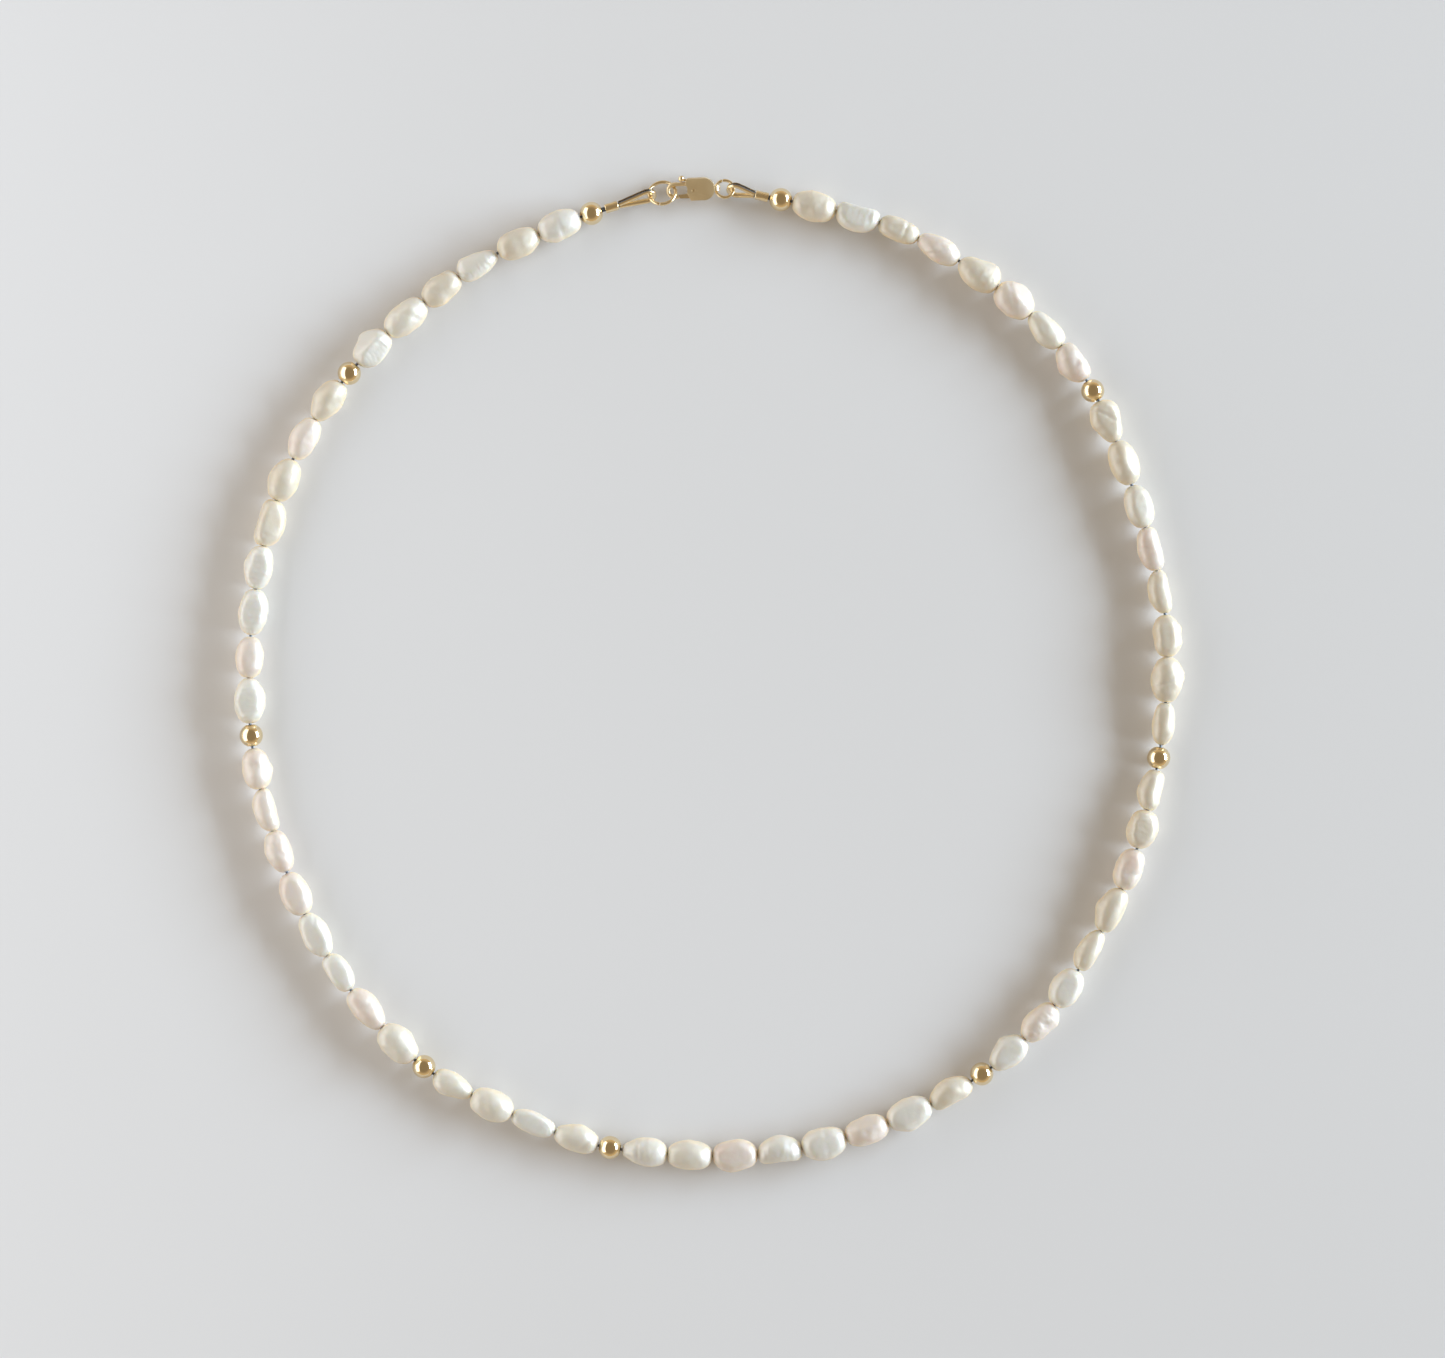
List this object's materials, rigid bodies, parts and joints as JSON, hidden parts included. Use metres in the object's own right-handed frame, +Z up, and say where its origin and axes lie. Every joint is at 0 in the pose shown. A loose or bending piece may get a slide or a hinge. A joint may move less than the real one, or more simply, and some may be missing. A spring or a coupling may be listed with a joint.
{
  "type": "pearl necklace",
  "caption": "Closed choker of drilled rice-shaped pearls spaced with round gold beads on beading wire, fastened by a sprung lobster clasp.",
  "frame": {"origin": "on the resting surface, at the middle of the loop as it lies closed", "axes": "+Z up from the surface, +Y towards the clasp, +X to the right as seen from above"},
  "size_m": [0.1223, 0.1284, 0.0041],
  "materials": {
    "pearl": "satin nacre",
    "gold": "polished gold",
    "wire": "nylon-coated strand",
    "spring_steel": "bare"
  },
  "bodies": {
    "band_1": {"pearls_01_02": "pearl", "pearls_03_04": "pearl", "pearls_57_58": "pearl", "crimp_tube_left": "gold", "crimp_tube_right": "gold", "wire_guard_left": "gold", "wire_guard_right": "gold"},
    "band_2": {"pearls_05_06": "pearl", "pearls_07_08": "pearl", "pearls_53_54": "pearl", "pearls_55_56": "pearl"},
    "band_3": {"pearls_09_10": "pearl", "pearls_51_52": "pearl"},
    "band_4": {"pearls_11_12": "pearl", "pearl_13": "pearl", "pearls_47_48": "pearl", "pearls_49_50": "pearl"},
    "band_5": {"pearls_14_15": "pearl", "pearl_16": "pearl", "pearls_45_46": "pearl", "beading_wire": "wire"},
    "band_6": {"pearls_17_18": "pearl", "pearls_42_43": "pearl", "pearl_44": "pearl"},
    "band_7": {"pearls_19_20": "pearl", "pearl_21": "pearl", "pearls_39_40": "pearl", "pearl_41": "pearl"},
    "band_8": {"pearls_22_23": "pearl", "pearl_24": "pearl", "pearls_37_38": "pearl"},
    "band_9": {"pearls_25_26": "pearl", "pearls_27_28": "pearl", "pearls_29_30": "pearl", "pearls_31_32": "pearl", "pearls_33_34": "pearl", "pearls_35_36": "pearl"},
    "clasp": {"clasp_body": "gold", "clasp_lever_pin": "gold", "clasp_spring": "spring_steel"},
    "lever": {"clasp_lever": "gold"},
    "jump_ring": {"jump_ring": "gold"},
    "tail_ring": {"tail_ring": "gold"},
    "gold_bead_1": {"gold_bead_1": "gold"},
    "gold_bead_2": {"gold_bead_2": "gold"},
    "gold_bead_3": {"gold_bead_3": "gold"},
    "gold_bead_4": {"gold_bead_4": "gold"},
    "gold_bead_5": {"gold_bead_5": "gold"},
    "gold_bead_6": {"gold_bead_6": "gold"},
    "gold_bead_7": {"gold_bead_7": "gold"},
    "gold_bead_8": {"gold_bead_8": "gold"},
    "gold_bead_9": {"gold_bead_9": "gold"}
  },
  "joints": [
    {"name": "fold_1_2", "type": "hinge", "parent": "band_2", "child": "band_1", "pos_m": [0.00236, 0.05341, 0.0021], "axis": [0.9999, -0.0172, 0], "range_deg": [-20, 20], "deforming": ["beading_wire"]},
    {"name": "fold_2_3", "type": "hinge", "parent": "band_3", "child": "band_2", "pos_m": [0.00152, 0.03859, 0.00193], "axis": [0.9998, -0.0221, -0.0027], "range_deg": [-20, 20], "deforming": ["beading_wire"]},
    {"name": "fold_3_4", "type": "hinge", "parent": "band_4", "child": "band_3", "pos_m": [0.00028, 0.02571, 0.0019], "axis": [0.9995, -0.0309, 0], "range_deg": [-20, 20], "deforming": ["beading_wire"]},
    {"name": "fold_4_5", "type": "hinge", "parent": "band_5", "child": "band_4", "pos_m": [-0.00029, 0.00597, 0.0019], "axis": [0.9997, 0.0236, 0], "range_deg": [-20, 20], "deforming": ["beading_wire"]},
    {"name": "fold_5_6", "type": "hinge", "parent": "band_5", "child": "band_6", "pos_m": [-0.00042, -0.00974, 0.0017], "axis": [-1, -0.0019, 0.0034], "range_deg": [-20, 20], "deforming": ["beading_wire"]},
    {"name": "fold_6_7", "type": "hinge", "parent": "band_6", "child": "band_7", "pos_m": [0.00023, -0.02444, 0.00193], "axis": [-0.9996, -0.0279, -0.0005], "range_deg": [-20, 20], "deforming": ["beading_wire"]},
    {"name": "fold_7_8", "type": "hinge", "parent": "band_7", "child": "band_8", "pos_m": [0.00056, -0.03986, 0.00195], "axis": [-0.9996, -0.0276, -0.0011], "range_deg": [-20, 20], "deforming": ["beading_wire"]},
    {"name": "fold_8_9", "type": "hinge", "parent": "band_8", "child": "band_9", "pos_m": [-0.00096, -0.05239, 0.00178], "axis": [-0.9999, 0.013, -0.0007], "range_deg": [-20, 20], "deforming": ["beading_wire"]},
    {"name": "closure_roll", "type": "hinge", "parent": "band_1", "child": "clasp", "pos_m": [-0.00787, 0.06143, 0.00145], "axis": [0.9976, 0.0698, 0], "range_deg": [-40, 8]},
    {"name": "lever_open", "type": "hinge", "parent": "clasp", "child": "lever", "pos_m": [-0.00215, 0.06216, 0.00143], "axis": [-0.0091, 0.2077, -0.9781], "range_deg": [0, 30], "stiffness_Nm_per_rad": 0.0006, "springref_deg": -34.38, "deforming": ["clasp_spring"]},
    {"name": "jump_ring_turn", "type": "hinge", "parent": "clasp", "child": "jump_ring", "pos_m": [-0.00618, 0.06175, 0.00145], "axis": [-0.0925, 0.4759, 0.8746], "continuous": true},
    {"name": "tail_ring_turn", "type": "hinge", "parent": "clasp", "child": "tail_ring", "pos_m": [0.00189, 0.06229, 0.00145], "axis": [0.0181, 0.2071, 0.9781], "continuous": true},
    {"name": "gold_bead_1_spin", "type": "hinge", "parent": "band_1", "child": "gold_bead_1", "pos_m": [0.00912, 0.06087, 0.0017], "axis": [0.9727, -0.1674, 0.1605], "continuous": true},
    {"name": "gold_bead_2_spin", "type": "hinge", "parent": "band_3", "child": "gold_bead_2", "pos_m": [0.04935, 0.03619, 0.00193], "axis": [0.4959, -0.8648, 0.0791], "continuous": true},
    {"name": "gold_bead_3_spin", "type": "hinge", "parent": "band_6", "child": "gold_bead_3", "pos_m": [0.0579, -0.01118, 0.00155], "axis": [-0.1759, -0.9839, 0.0317], "continuous": true},
    {"name": "gold_bead_4_spin", "type": "hinge", "parent": "band_8", "child": "gold_bead_4", "pos_m": [0.03504, -0.05195, 0.0019], "axis": [-0.8198, -0.5692, -0.0634], "continuous": true},
    {"name": "gold_bead_5_spin", "type": "hinge", "parent": "band_9", "child": "gold_bead_5", "pos_m": [-0.01291, -0.06144, 0.00198], "axis": [-0.9851, 0.1651, -0.0476], "continuous": true},
    {"name": "gold_bead_6_spin", "type": "hinge", "parent": "band_8", "child": "gold_bead_6", "pos_m": [-0.03692, -0.051, 0.0019], "axis": [-0.7959, 0.598, 0.0949], "continuous": true},
    {"name": "gold_bead_7_spin", "type": "hinge", "parent": "band_5", "child": "gold_bead_7", "pos_m": [-0.05919, -0.00829, 0.00195], "axis": [-0.102, 0.9943, 0.0317], "continuous": true},
    {"name": "gold_bead_8_spin", "type": "hinge", "parent": "band_3", "child": "gold_bead_8", "pos_m": [-0.04654, 0.03843, 0.00202], "axis": [0.6442, 0.7647, 0.0159], "continuous": true},
    {"name": "gold_bead_9_spin", "type": "hinge", "parent": "band_1", "child": "gold_bead_9", "pos_m": [-0.01533, 0.05909, 0.0017], "axis": [0.9331, 0.322, -0.1605], "continuous": true}
  ]
}
